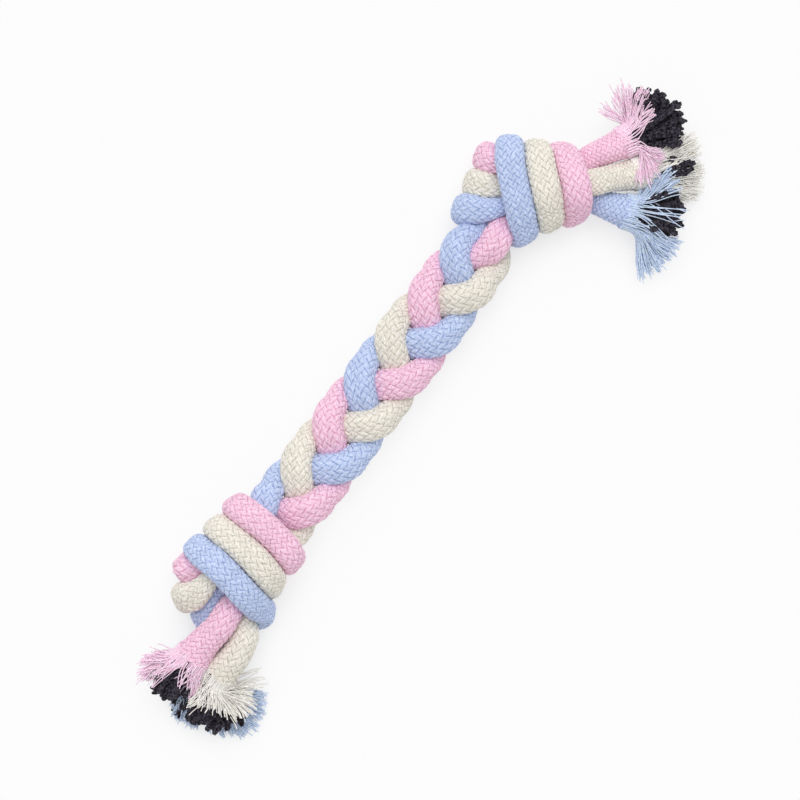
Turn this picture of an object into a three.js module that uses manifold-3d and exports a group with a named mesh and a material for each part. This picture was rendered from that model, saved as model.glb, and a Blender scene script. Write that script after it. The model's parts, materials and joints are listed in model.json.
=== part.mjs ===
// Rope dog toy: three braided ropes, plaited flat and tied together in an overhand knot
// at each end, with frayed tails. Millimetres, +Z up, lying on z = 0.
// X runs along the plait from knot A to knot B, and Y lies across it.
import * as THREE from 'three';
import Module from 'manifold-3d';

const wasm = await Module();
wasm.setup();

// Driving dimensions: rope
const ROPE_DIAMETER = 8.2;
const ROPE_RADIUS = ROPE_DIAMETER / 2;
const ROPE_SIDES = 10;
const ROPE_STEP = 2.8;
const TOUCH_GAP = 0.7;
const FLOOR_PRESS = ROPE_DIAMETER / 10;
const COLOURS = { pink: 0xf3b3cc, cream: 0xe9e2cf, blue: 0xb1c3ea };
const CORE_COLOUR = 0x2f2c31;

// Driving dimensions: plait
const PLAIT_CYCLE = 44.4;
const PLAIT_SWING = 4.6;
const PLAIT_LIFT = 4.2;
const PLAIT_Y = -3;
const PLAIT_START = -47.5;
const PLAIT_END = 41.3;
const PLAIT_POINT_EVERY = 3.7;
const PLAIT_HEIGHT_A = 15.2;
const PLAIT_HEIGHT_B = 11.2;
const PLAIT_TOP_EDGE = { pink: -14.3, cream: 15.3, blue: 0.5 };

// Driving dimensions: bending places
const HINGE_CLEARANCE = 0.4;
const NECK_CLEARANCE = 1.1;
const NECK_RADIUS = 11.2;
const NECK_A = { x: -38, y: PLAIT_Y };
const NECK_B = { x: 36, y: PLAIT_Y };
const TAILS_A = { x: -89.6, y: -11, heading: 184 };
const TAILS_B = { x: 82.6, y: -16.4, heading: -41 };

// Driving dimensions: frayed ends
const BORE_RADIUS = 3.1;
const STEM_RADIUS = 2.5;
const BORE_DEPTH = 4.4;
const STEM_GAP = 0.4;
const YARN_COUNT = 8;
const YARN_SIDES = 4;
const YARN_ROOT = 0.62;
const YARN_TIP = 1.1;
const LOCK_COUNT = 8;
const LOCK_SIDES = 4;
const LOCK_ROOT = 0.7;
const LOCK_TIP = 0.5;
const STRAND_STEPS = 3;
const STRAND_SET_BACK = 0.6;
const STRAND_STAGGER = 0.08;
const STRAND_STRAIGHT = 0.35;
const STRAND_BELLY = 0.25;

// Half width and half thickness of the rope, as shares of its radius, by how it is held
const SECTION = {
  free: [0.97, 0.97],
  slim: [0.86, 0.86],
  plait: [0.92, 0.68],
  band: [0.94, 0.72],
  fold: [0.88, 0.66],
  pinch: [0.95, 0.68],
  held: [0.58, 0.58],
};

// Routes through knot A, from the sheath's end at the tail to the plait
const KNOT_A = {
  pink: [
    [-97, -6.6, 13.4, 'free'], [-90, -6.6, 14.6, 'free'], [-83.5, -6, 15.4, 'free'],
    [-77.5, -4.8, 14.8, 'fold'], [-71.5, -2.6, 13.7, 'held'], [-65, 1.2, 12.4, 'held'],
    [-58, 6.4, 11.2, 'held'], [-54.2, 9.3, 15, 'fold'], [-53.2, 8, 22.4, 'band'],
    [-53.6, 0, 25.2, 'band'], [-55.6, -8.4, 22.6, 'band'], [-57.2, -10.4, 15, 'fold'],
    [-57.8, -10.2, 8, 'fold'], [-62.5, -8.4, 3.2, 'band'], [-69.5, -1.5, 2.4, 'band'],
    [-77, 3.6, 4.4, 'pinch'], [-80, 4.9, 10.4, 'pinch'], [-77.6, 5.5, 16.6, 'pinch'],
    [-70.5, 6.2, 17.8, 'held'], [-63.5, 5, 17.4, 'held'], [-56.5, 2.4, 14.6, 'held'],
    [-52, -0.2, 12.6, 'fold'],
  ],
  cream: [
    [-96, -15, 9.8, 'free'], [-89, -13.9, 9.8, 'free'], [-83.5, -12.8, 10, 'free'],
    [-78.5, -11.4, 10.4, 'fold'], [-73.5, -7, 9.2, 'held'], [-69, 0.2, 8.6, 'held'],
    [-64.6, 6.6, 10.4, 'held'], [-62.2, 9.1, 15.2, 'fold'], [-61.3, 8, 22.4, 'band'],
    [-61.6, -1, 25.2, 'band'], [-63.4, -10, 22.4, 'band'], [-65.8, -12.8, 15, 'fold'],
    [-66.6, -12.4, 8.4, 'fold'], [-69.6, -10.4, 3.4, 'band'], [-75, -5.6, 2.4, 'band'],
    [-81.2, -0.8, 4.4, 'pinch'], [-84.6, 1, 10.4, 'pinch'], [-81, 1.6, 16.4, 'pinch'],
    [-73, 2, 18, 'held'], [-66.5, 0, 18.6, 'held'], [-60.5, -4, 18.8, 'held'],
    [-55, -8.2, 16.4, 'fold'], [-51.5, -9.2, 14.4, 'plait'],
  ],
  blue: [
    [-97, -9.4, 4.2, 'free'], [-90, -8.2, 4.2, 'free'], [-84.5, -7.6, 5, 'free'],
    [-79, -8.2, 8.2, 'fold'], [-75, -4, 8.4, 'held'], [-72.5, 2, 8.6, 'held'],
    [-70.6, 7, 10.4, 'held'], [-69.8, 9.2, 15.4, 'fold'], [-69.5, 8.4, 22.6, 'band'],
    [-70, -1, 25.4, 'band'], [-72, -10.4, 22.6, 'band'], [-74.4, -12.4, 15.4, 'fold'],
    [-76.4, -12.4, 8.8, 'fold'], [-77.4, -11.4, 3.4, 'band'], [-79, -8, 2.4, 'band'],
    [-82.8, -4, 4.4, 'pinch'], [-84.4, -3, 9.6, 'pinch'], [-81.6, -2.8, 14.4, 'pinch'],
    [-75.5, -2.2, 17.6, 'held'], [-70, -4, 18.8, 'held'], [-65, -5, 15.4, 'held'],
    [-60, -4.6, 13, 'held'], [-55.5, -2, 19, 'held'], [-51, 0.8, 19.6, 'fold'],
  ],
};

// Routes through knot B, from the plait to the sheath's end at the tail
const KNOT_B = {
  pink: [
    [45.2, -3.9, 14.6, 'plait'], [49.6, -4.4, 14.4, 'plait'], [55.5, -5.2, 10.6, 'held'],
    [63, -4.8, 9, 'held'], [70, -4.4, 9, 'held'], [74.6, -4.4, 10.4, 'fold'],
    [76.2, -4.6, 15.6, 'fold'], [76.2, -6.6, 20.6, 'band'], [74.6, -11, 22.2, 'band'],
    [71.4, -15.4, 20, 'band'], [68.6, -16.8, 13.4, 'fold'], [68.2, -15, 7, 'fold'],
    [68.6, -9, 2.8, 'band'], [68.4, -0.6, 2.4, 'band'], [66.6, 5.2, 4, 'pinch'],
    [64.9, 7.7, 9.2, 'pinch'], [64.6, 7.1, 14.4, 'pinch'], [67.2, 3.8, 15.4, 'held'],
    [72.4, -1.4, 15.2, 'held'], [77, -7, 14.8, 'held'], [81, -11.2, 14, 'fold'],
    [86, -14, 13, 'slim'], [94.6, -18, 11.6, 'slim'],
  ],
  cream: [
    [45, -6.6, 7.6, 'plait'], [49, -2.2, 8.6, 'fold'], [54, -0.2, 8.8, 'held'],
    [61, 0.4, 9, 'held'], [68, 0.8, 9, 'held'], [72.6, 1.2, 10.6, 'fold'],
    [75, 1.2, 15.8, 'fold'], [74.2, -1.2, 20.8, 'band'], [71.2, -6, 22.4, 'band'],
    [67, -12.2, 20.4, 'band'], [64.8, -14, 13.4, 'fold'], [63.2, -11.6, 7, 'fold'],
    [61, -4.6, 2.8, 'band'], [59.4, 2.8, 2.4, 'band'], [57.8, 7.2, 4.6, 'pinch'],
    [57.2, 8.8, 9.6, 'pinch'], [58.4, 7.4, 14.6, 'pinch'], [63, 2.6, 15.2, 'held'],
    [67.8, -3.8, 15, 'held'], [73, -10.2, 14.6, 'held'], [77.6, -15.8, 13.4, 'fold'],
    [82, -20.4, 12, 'slim'], [89, -26, 10, 'slim'],
  ],
  blue: [
    [44.8, 4.4, 11.4, 'plait'], [48.5, 4.8, 11, 'plait'], [54, 4.8, 9.6, 'held'],
    [60.5, 5.4, 9, 'held'], [66.6, 6.6, 10.2, 'fold'], [70.8, 8.3, 15.6, 'fold'],
    [69.4, 6.4, 21, 'band'], [65.8, 0.6, 22.8, 'band'], [60, -7.2, 20.8, 'band'],
    [57.6, -9, 13.8, 'fold'], [56, -7.4, 7, 'fold'], [54.4, -1.4, 2.6, 'band'],
    [52.4, 3.8, 3.8, 'pinch'], [50.8, 6.6, 9.4, 'pinch'], [53, 5.8, 14.4, 'pinch'],
    [58, 0, 15.2, 'held'], [63, -6, 15, 'held'], [68.4, -12.6, 14.4, 'held'],
    [73.6, -18.4, 13.4, 'fold'], [74.9, -23.4, 12.2, 'slim'], [78.4, -31, 10.4, 'free'],
  ],
};

// Frayed ends: headings and spreads in degrees seen from above, lengths from the sheath's end
const FRAY = {
  pink_a: { heading: 178, yarns: [24, 13.5, 1.2], locks: [46, 12, 3.8], tip: 14.4 },
  cream_a: { heading: 212, yarns: [27, 15, 0.6], locks: [48, 11, 3.3], tip: 9.2 },
  blue_a: { heading: 210, yarns: [22, 14, 0.8], locks: [40, 17, 2.4], tip: 3.6 },
  pink_b: { heading: -14, yarns: [25, 18, 1.8], locks: [48, 13, 4.6], tip: 12.4 },
  cream_b: { heading: -41, yarns: [11, 13, 1.2], locks: [25, 17, 4], tip: 5 },
  blue_b: { heading: -68, yarns: [22, 13, 1.6], locks: [42, 15, 4.2], tip: 8.4 },
};

const rad = THREE.MathUtils.degToRad;

// Points of the flat three-strand plait: every strand swings from edge to edge, dives under
// the next one on its way to the middle and passes over on its way out.
function plaitPoints(colour) {
  const points = [];
  for (let x = PLAIT_START; x <= PLAIT_END; x += PLAIT_POINT_EVERY) {
    const turn = (2 * Math.PI * (x - PLAIT_TOP_EDGE[colour])) / PLAIT_CYCLE + Math.PI / 2;
    const along = (x - PLAIT_START) / (PLAIT_END - PLAIT_START);
    const height = THREE.MathUtils.lerp(PLAIT_HEIGHT_A, PLAIT_HEIGHT_B, along);
    const y = PLAIT_Y + PLAIT_SWING * Math.sin(turn);
    points.push([x, y, height + PLAIT_LIFT * Math.sin(2 * turn), 'plait']);
  }
  return points;
}

// One rope from tail to tail: evenly spaced points, each with its half width and thickness
function layRope(colour) {
  const stations = [...KNOT_A[colour], ...plaitPoints(colour), ...KNOT_B[colour]];
  const curve = new THREE.CatmullRomCurve3(stations.map(([x, y, z]) => new THREE.Vector3(x, y, z)));
  const count = Math.round(curve.getLength() / ROPE_STEP);
  const rope = { colour, points: [], width: [], thick: [], step: curve.getLength() / count };
  for (let i = 0; i <= count; i++) {
    const t = curve.getUtoTmapping(i / count);
    const place = t * (stations.length - 1);
    const before = Math.min(Math.floor(place), stations.length - 2);
    const from = SECTION[stations[before][3]];
    const to = SECTION[stations[before + 1][3]];
    rope.points.push(curve.getPoint(t));
    rope.width.push(ROPE_RADIUS * THREE.MathUtils.lerp(from[0], to[0], place - before));
    rope.thick.push(ROPE_RADIUS * THREE.MathUtils.lerp(from[1], to[1], place - before));
  }
  return rope;
}

// Tangents, and the directions in which the rope is thin: outwards on its bends, and
// upright where it runs straight
const BEND_REACH = 3;
const UPRIGHT_BIAS = 0.05;

function findFrames(rope) {
  const { points } = rope;
  const last = points.length - 1;
  const at = (i) => points[THREE.MathUtils.clamp(i, 0, last)];
  rope.tangent = points.map((_, i) => at(i + 1).clone().sub(at(i - 1)).normalize());
  const bend = points.map((p, i) =>
    p.clone().multiplyScalar(2).sub(at(i - BEND_REACH)).sub(at(i + BEND_REACH)));
  rope.thin = points.map((_, i) => {
    const sum = new THREE.Vector3(0, 0, UPRIGHT_BIAS);
    for (let k = -1; k <= 1; k++) {
      sum.add(bend[THREE.MathUtils.clamp(i + k, 0, last)]);
    }
    return sum.addScaledVector(rope.tangent[i], -sum.dot(rope.tangent[i])).normalize();
  });
}

// How far the rope's section reaches from its centre, square to the rope, towards a direction
const STEEPEST = 0.6;

function reach(rope, i, direction) {
  const out = direction.dot(rope.thin[i]);
  const along = direction.dot(rope.tangent[i]);
  const across = Math.sqrt(Math.max(0, 1 - out * out - along * along));
  const square = Math.max(Math.hypot(out, across), STEEPEST);
  return Math.hypot(rope.thick[i] * out, rope.width[i] * across) / square;
}

// The ropes press each other apart until none runs into another, itself or the floor
const SETTLE_PASSES = 300;
const SETTLE_FREE_PASSES = 60;
const HOLD_SHARE = 0.04;
const SMOOTH_SHARE = 0.1;
const PRESS_SHARE = 0.2;
const SELF_SKIP = 7;

// Neighbouring points of a rope keep their distance
function keepSpacing(points, step) {
  const offset = new THREE.Vector3();
  for (let i = 1; i < points.length; i++) {
    offset.subVectors(points[i], points[i - 1]);
    const distance = offset.length();
    offset.multiplyScalar((0.5 * (distance - step)) / distance);
    points[i - 1].add(offset);
    points[i].sub(offset);
  }
}

function settle(ropes) {
  const homes = ropes.map((rope) => rope.points.map((p) => p.clone()));
  const offset = new THREE.Vector3();
  const widest = 2 * ROPE_DIAMETER;
  for (let pass = 0; pass < SETTLE_PASSES; pass++) {
    ropes.forEach(findFrames);
    const loose = pass < SETTLE_PASSES - SETTLE_FREE_PASSES;
    ropes.forEach((rope, r) => {
      const before = rope.points.map((p) => p.clone());
      const smooth = loose ? SMOOTH_SHARE : SMOOTH_SHARE / 4;
      for (let i = 1; i < rope.points.length - 1; i++) {
        const middle = before[i - 1].clone().add(before[i + 1]).multiplyScalar(0.5);
        rope.points[i].lerp(middle, smooth);
        rope.points[i].lerp(homes[r][i], loose ? HOLD_SHARE : 0);
      }
    });
    for (let r = 0; r < ropes.length; r++) {
      for (let q = r; q < ropes.length; q++) {
        for (let i = 0; i < ropes[r].points.length; i++) {
          const p = ropes[r].points[i];
          for (let j = r === q ? i + SELF_SKIP : 0; j < ropes[q].points.length; j++) {
            const other = ropes[q].points[j];
            if (Math.abs(p.x - other.x) > widest || Math.abs(p.y - other.y) > widest) continue;
            offset.subVectors(p, other);
            const distance = offset.length();
            if (distance > widest) continue;
            offset.divideScalar(distance);
            const need = reach(ropes[r], i, offset) + reach(ropes[q], j, offset) + TOUCH_GAP;
            if (distance >= need) continue;
            p.addScaledVector(offset, (need - distance) * PRESS_SHARE);
            other.addScaledVector(offset, (distance - need) * PRESS_SHARE);
          }
        }
      }
    }
    for (const rope of ropes) {
      keepSpacing(rope.points, rope.step);
      rope.points.forEach((p, i) => {
        const low = reach(rope, i, new THREE.Vector3(0, 0, 1)) - FLOOR_PRESS;
        p.z = Math.max(p.z, low);
      });
    }
  }
  ropes.forEach(findFrames);
}

// Axes that follow the rope without twisting round it
function findAxes(rope) {
  let side = new THREE.Vector3(0, 1, 0);
  rope.side = rope.tangent.map((t) => {
    side = side.clone().addScaledVector(t, -side.dot(t)).normalize();
    return side;
  });
  rope.up = rope.tangent.map((t, i) => t.clone().cross(rope.side[i]));
}

function lerpAt(list, place) {
  const before = THREE.MathUtils.clamp(Math.floor(place), 0, list.length - 2);
  return list[before].clone().lerp(list[before + 1], place - before);
}

// A point of the rope's surface, at a place along it and an angle round it, or of a smaller
// tube inside it; without an angle, the centre
function surfacePoint(rope, place, angle, radius) {
  const centre = lerpAt(rope.points, place);
  if (angle === undefined) return centre;
  const direction = lerpAt(rope.side, place).multiplyScalar(Math.cos(angle));
  direction.addScaledVector(lerpAt(rope.up, place), Math.sin(angle)).normalize();
  if (radius) return centre.addScaledVector(direction, radius);
  const nearest = Math.round(THREE.MathUtils.clamp(place, 0, rope.points.length - 1));
  const out = direction.dot(rope.thin[nearest]);
  const across = Math.sqrt(Math.max(0, 1 - out * out));
  const length = 1 / Math.hypot(out / rope.thick[nearest], across / rope.width[nearest]);
  return centre.addScaledVector(direction, length);
}

const ROPE_ANGLES = Array.from({ length: ROPE_SIDES }, (_, k) => (2 * Math.PI * k) / ROPE_SIDES);
const FINE_STEP = 0.1;
const HALVINGS = 20;

// Where each line along the rope's surface, and its centre, leaves a round bending place
function cutPlaces(rope, start, direction, outside) {
  const find = (angle) => {
    let inner = start;
    while (outside(surfacePoint(rope, inner + direction * FINE_STEP, angle)) < 0) {
      inner += direction * FINE_STEP;
    }
    let outer = inner + direction * FINE_STEP;
    for (let k = 0; k < HALVINGS; k++) {
      const middle = (inner + outer) / 2;
      if (outside(surfacePoint(rope, middle, angle)) < 0) inner = middle;
      else outer = middle;
    }
    return inner;
  };
  return { rim: ROPE_ANGLES.map((angle) => find(angle)), centre: find() };
}

function straightCut(place) {
  return { rim: ROPE_ANGLES.map(() => place), centre: place };
}

// A closed solid through rings of points, with a fan to a middle point at each end
function loftRings(rings, first, last) {
  const sides = rings[0].length;
  const vertices = rings.flat();
  const triangles = [];
  const firstIndex = vertices.push(first) - 1;
  const lastIndex = vertices.push(last) - 1;
  for (let k = 0; k < sides; k++) {
    const next = (k + 1) % sides;
    const end = (rings.length - 1) * sides;
    triangles.push(firstIndex, next, k, lastIndex, end + k, end + next);
    for (let r = 0; r < rings.length - 1; r++) {
      const low = r * sides;
      const high = low + sides;
      triangles.push(low + k, low + next, high + next, low + k, high + next, high + k);
    }
  }
  return { vertices, triangles };
}

function toManifold({ vertices, triangles }) {
  const vertProperties = new Float32Array(vertices.flatMap((v) => [v.x, v.y, v.z]));
  return new wasm.Manifold(new wasm.Mesh({
    numProp: 3,
    vertProperties,
    triVerts: new Uint32Array(triangles),
  }));
}

// A stretch of rope between two cuts, pressed flat where it lies on the floor
const RING_MARGIN = 0.3;

function stretch(rope, from, to) {
  const rings = [];
  const addRing = (rim, full, share) => {
    rings.push(ROPE_ANGLES.map((angle, k) =>
      surfacePoint(rope, THREE.MathUtils.lerp(rim[k], full, share), angle)));
  };
  const start = Math.ceil(Math.max(...from.rim) + RING_MARGIN);
  const stop = Math.floor(Math.min(...to.rim) - RING_MARGIN);
  const startSteps = Math.ceil(start - Math.min(...from.rim));
  const stopSteps = Math.ceil(Math.max(...to.rim) - stop);
  for (let j = 0; j < startSteps; j++) addRing(from.rim, start, j / startSteps);
  for (let i = start; i <= stop; i++) addRing(from.rim, i, 1);
  for (let j = stopSteps - 1; j >= 0; j--) addRing(to.rim, stop, j / stopSteps);
  const solid = loftRings(rings, surfacePoint(rope, from.centre), surfacePoint(rope, to.centre));
  solid.vertices.forEach((v) => {
    v.z = Math.max(v.z, 0);
  });
  return solid;
}

// A tapering strand that bends from its root to its tip
function strand(root, middle, tip, rootRadius, tipRadius, sides) {
  const curve = new THREE.QuadraticBezierCurve3(root, middle, tip);
  const rings = [];
  const level = new THREE.Vector3(0, 0, 1);
  for (let i = 0; i <= STRAND_STEPS; i++) {
    const centre = curve.getPoint(i / STRAND_STEPS);
    const tangent = curve.getTangent(i / STRAND_STEPS);
    const side = tangent.clone().cross(level).normalize();
    const up = tangent.clone().cross(side);
    const radius = THREE.MathUtils.lerp(rootRadius, tipRadius, i / STRAND_STEPS);
    rings.push(Array.from({ length: sides }, (_, k) => {
      const angle = (2 * Math.PI * k) / sides;
      return centre.clone()
        .addScaledVector(side, radius * Math.cos(angle))
        .addScaledVector(up, radius * Math.sin(angle));
    }));
  }
  return toManifold(loftRings(rings, root, tip));
}

// Strands that leave a ring at the rope's end and fan out flat
function fan(rope, end, inward, fray, [spread, length, half], count, ringRadius, sizes, sides) {
  const origin = surfacePoint(rope, end);
  const ahead = rope.tangent[end].clone().multiplyScalar(-inward);
  let solid = null;
  for (let k = 0; k < count; k++) {
    const angle = (2 * Math.PI * (k + 0.5)) / count;
    const spoke = rope.side[end].clone().multiplyScalar(Math.cos(angle));
    spoke.addScaledVector(rope.up[end], Math.sin(angle));
    const root = origin.clone().addScaledVector(spoke, ringRadius);
    root.addScaledVector(ahead, -STRAND_SET_BACK);
    const heading = rad(fray.heading);
    const sideways = spoke.x * -Math.sin(heading) + spoke.y * Math.cos(heading);
    const turn = heading + rad(spread) * sideways;
    const reachOut = length * (1 - STRAND_STAGGER * (k % 2));
    const tip = new THREE.Vector3(
      origin.x + reachOut * Math.cos(turn),
      origin.y + reachOut * Math.sin(turn),
      fray.tip + half * spoke.z,
    );
    const middle = root.clone().addScaledVector(ahead, length * STRAND_STRAIGHT);
    middle.addScaledVector(spoke, half * STRAND_BELLY);
    for (const point of [root, middle, tip]) point.z = Math.max(point.z, sizes[0], sizes[1]);
    const piece = strand(root, middle, tip, sizes[0], sizes[1], sides);
    solid = solid ? solid.add(piece) : piece;
  }
  return solid;
}

// A smaller round tube inside the rope, along its centre line
function innerTube(rope, from, to, radius, beyond) {
  const step = Math.sign(to - from);
  const places = [from, (from + to) / 2, to];
  if (step < 0) places.reverse();
  const rings = places.map((p) => ROPE_ANGLES.map((angle) => surfacePoint(rope, p, angle, radius)));
  const ends = [surfacePoint(rope, places[0]), surfacePoint(rope, places[places.length - 1])];
  const outer = step > 0 ? rings.length - 1 : 0;
  const ahead = rope.tangent[to].clone().multiplyScalar(step * beyond);
  rings[outer].forEach((v) => v.add(ahead));
  ends[step > 0 ? 1 : 0].add(ahead);
  return toManifold(loftRings(rings, ends[0], ends[1]));
}

function meshOf(name, solid, colour) {
  const geometry = new THREE.BufferGeometry();
  if (solid.vertices) {
    const flat = solid.vertices.flatMap((v) => [v.x, v.y, v.z]);
    geometry.setAttribute('position', new THREE.Float32BufferAttribute(flat, 3));
    geometry.setIndex(solid.triangles);
  } else {
    const { vertProperties, triVerts } = solid.getMesh();
    geometry.setAttribute('position', new THREE.BufferAttribute(vertProperties, 3));
    geometry.setIndex(new THREE.BufferAttribute(triVerts, 1));
  }
  geometry.computeVertexNormals();
  const material = new THREE.MeshStandardMaterial({ color: colour, roughness: 0.95, metalness: 0 });
  const mesh = new THREE.Mesh(geometry, material);
  mesh.name = name;
  return mesh;
}

// Distance outside an upright round neck, and ahead of the level line where tails lift
const outsideNeck = (neck, radius) => (p) => Math.hypot(p.x - neck.x, p.y - neck.y) - radius;
function aheadOf(hinge, p) {
  const heading = rad(hinge.heading);
  return (p.x - hinge.x) * Math.cos(heading) + (p.y - hinge.y) * Math.sin(heading);
}

// The frayed sheath end, a hollow tube with its teased-out locks
function makeTail(rope, cut, end, inward, fray) {
  const whole = inward > 0 ? stretch(rope, straightCut(end), cut) : stretch(rope, cut, straightCut(end));
  const deep = end + (inward * BORE_DEPTH) / ROPE_STEP;
  const bore = innerTube(rope, deep, end, BORE_RADIUS, 1);
  const locks = fan(rope, end, inward, fray, fray.locks, LOCK_COUNT,
    (ROPE_RADIUS + BORE_RADIUS) / 2, [LOCK_ROOT, LOCK_TIP], LOCK_SIDES);
  return toManifold(whole).subtract(bore).add(locks);
}

// The core yarns, a stem in the sheath's bore that opens into a brush
function makeCore(rope, end, inward, fray) {
  const deep = end + (inward * (BORE_DEPTH - STEM_GAP)) / ROPE_STEP;
  const stem = innerTube(rope, deep, end, STEM_RADIUS, 0);
  const yarns = fan(rope, end, inward, fray, fray.yarns, YARN_COUNT,
    STEM_RADIUS - YARN_ROOT, [YARN_ROOT, YARN_TIP], YARN_SIDES);
  return stem.add(yarns);
}

const TAIL_SEARCH = 6;
const toy = new THREE.Group();
const ropes = Object.keys(COLOURS).map(layRope);
settle(ropes);
ropes.forEach(findAxes);

for (const rope of ropes) {
  const { colour, points } = rope;
  const last = points.length - 1;
  const middle = Math.round(last / 2);
  const placeFrom = (start, step, test) => {
    let i = start;
    while (!test(points[i])) i += step;
    return i;
  };
  const neckA = placeFrom(middle, -1, (p) => p.x < NECK_A.x);
  const neckB = placeFrom(middle, 1, (p) => p.x > NECK_B.x);
  const hingeA = placeFrom(0, 1, (p) => aheadOf(TAILS_A, p) < TAIL_SEARCH);
  const hingeB = placeFrom(last, -1, (p) => aheadOf(TAILS_B, p) < TAIL_SEARCH);
  const wide = NECK_RADIUS + NECK_CLEARANCE;
  const half = HINGE_CLEARANCE / 2;
  const plait = stretch(rope,
    cutPlaces(rope, neckA, -1, outsideNeck(NECK_A, NECK_RADIUS)),
    cutPlaces(rope, neckB, 1, outsideNeck(NECK_B, NECK_RADIUS)));
  const knotA = stretch(rope,
    cutPlaces(rope, hingeA, 1, (p) => -half - aheadOf(TAILS_A, p)),
    cutPlaces(rope, neckA, -1, outsideNeck(NECK_A, wide)));
  const knotB = stretch(rope,
    cutPlaces(rope, neckB, 1, outsideNeck(NECK_B, wide)),
    cutPlaces(rope, hingeB, -1, (p) => -half - aheadOf(TAILS_B, p)));
  const tailCutA = cutPlaces(rope, hingeA, 1, (p) => half - aheadOf(TAILS_A, p));
  const tailCutB = cutPlaces(rope, hingeB, -1, (p) => half - aheadOf(TAILS_B, p));
  const frayA = FRAY[`${colour}_a`];
  const frayB = FRAY[`${colour}_b`];
  toy.add(
    meshOf(`${colour}_plait`, plait, COLOURS[colour]),
    meshOf(`${colour}_knot_a`, knotA, COLOURS[colour]),
    meshOf(`${colour}_knot_b`, knotB, COLOURS[colour]),
    meshOf(`${colour}_tail_a`, makeTail(rope, tailCutA, 0, 1, frayA), COLOURS[colour]),
    meshOf(`${colour}_tail_b`, makeTail(rope, tailCutB, last, -1, frayB), COLOURS[colour]),
    meshOf(`${colour}_core_a`, makeCore(rope, 0, 1, frayA), CORE_COLOUR),
    meshOf(`${colour}_core_b`, makeCore(rope, last, -1, frayB), CORE_COLOUR),
  );
}

// The origin is under the middle of the toy, on the floor
const box = new THREE.Box3().setFromObject(toy);
const centre = box.getCenter(new THREE.Vector3());
toy.children.forEach((mesh) => mesh.geometry.translate(-centre.x, -centre.y, -box.min.z));

export default toy;
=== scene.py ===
"""Rope dog toy: three braided ropes, plaited flat, knotted at both ends and frayed.

Sizes are millimetres along the same routes as the solids, and metres in the scene.
"""

import json
import math
import random
from functools import lru_cache

import bmesh
import bpy
import numpy as np
from bpy.props import FloatProperty, FloatVectorProperty, IntProperty, PointerProperty
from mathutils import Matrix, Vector


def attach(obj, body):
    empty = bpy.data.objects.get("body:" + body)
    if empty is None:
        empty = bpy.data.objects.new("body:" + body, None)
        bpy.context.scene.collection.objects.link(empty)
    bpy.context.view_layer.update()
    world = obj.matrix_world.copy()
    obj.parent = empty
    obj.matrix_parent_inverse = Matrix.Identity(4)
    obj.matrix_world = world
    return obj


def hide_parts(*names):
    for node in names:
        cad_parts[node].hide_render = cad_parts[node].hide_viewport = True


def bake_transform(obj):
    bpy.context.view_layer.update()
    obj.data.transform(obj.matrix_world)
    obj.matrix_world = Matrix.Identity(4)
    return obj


bl_info = {
    "name": "Rope Dog Toy",
    "version": (1, 0, 0),
    "blender": (4, 5, 0),
    "location": "View3D > Sidebar > Rope Toy",
    "description": "Builds the braided ropes, knots and frayed ends of a rope dog toy",
    "category": "Add Mesh",
}

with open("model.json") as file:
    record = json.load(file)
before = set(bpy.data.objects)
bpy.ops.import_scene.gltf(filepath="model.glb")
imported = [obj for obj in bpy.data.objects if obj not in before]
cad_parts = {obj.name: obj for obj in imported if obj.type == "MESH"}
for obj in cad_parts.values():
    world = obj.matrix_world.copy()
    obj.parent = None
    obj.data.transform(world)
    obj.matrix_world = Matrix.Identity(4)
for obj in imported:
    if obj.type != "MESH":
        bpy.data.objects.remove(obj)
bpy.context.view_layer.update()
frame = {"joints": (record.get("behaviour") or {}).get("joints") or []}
MM = 0.001
ROPES = ("pink", "cream", "blue")
ROPE_ENDS = [(colour, end) for colour in ROPES for end in "ab"]

# Bending places, in millimetres from the point where the ropes were laid out, and headings
NECKS = {"a": (-38.0, -3.0), "b": (36.0, -3.0)}
TAIL_HINGES = {"a": (-89.6, -11.0, 184.0), "b": (82.6, -16.4, -41.0)}


def lay_out_shift():
    """From the point where the ropes were laid out to the middle of the toy."""
    pivot = next(j["pos_m"] for j in frame["joints"] if j["name"] == "knot_a_bend")
    x, y = NECKS["a"]
    return np.array([pivot[0] / MM - x, pivot[1] / MM - y, 0.0])


SHIFT = lay_out_shift()

# The rope and the plait, as the solids have them
ROPE_DIAMETER = 8.2
ROPE_RADIUS = ROPE_DIAMETER / 2
ROPE_STEP = 2.8
TOUCH_GAP = 0.7
FLOOR_PRESS = ROPE_DIAMETER / 10
PLAIT_CYCLE = 44.4
PLAIT_SWING = 4.6
PLAIT_LIFT = 4.2
PLAIT_Y = -3.0
PLAIT_START = -47.5
PLAIT_END = 41.3
PLAIT_POINT_EVERY = 3.7
PLAIT_HEIGHT_A = 15.2
PLAIT_HEIGHT_B = 11.2
PLAIT_TOP_EDGE = {"pink": -14.3, "cream": 15.3, "blue": 0.5}

# Rope by how it is held: half width and half thickness, as shares of its radius, and how far
# it swells between its neighbours, past the solids, in millimetres
HOLDS = {
    "free": (0.97, 0.97, 0.0),
    "slim": (0.86, 0.86, 0.0),
    "plait": (0.92, 0.68, 0.55),
    "band": (0.94, 0.72, 0.15),
    "fold": (0.88, 0.66, 0.15),
    "pinch": (0.95, 0.68, 0.3),
    "held": (0.58, 0.58, 0.0),
}

# How far a sheath opens at its end, over what length and how suddenly
FLARE = 1.1
FLARE_LENGTH = 11.0
FLARE_POWER = 1.3

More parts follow.
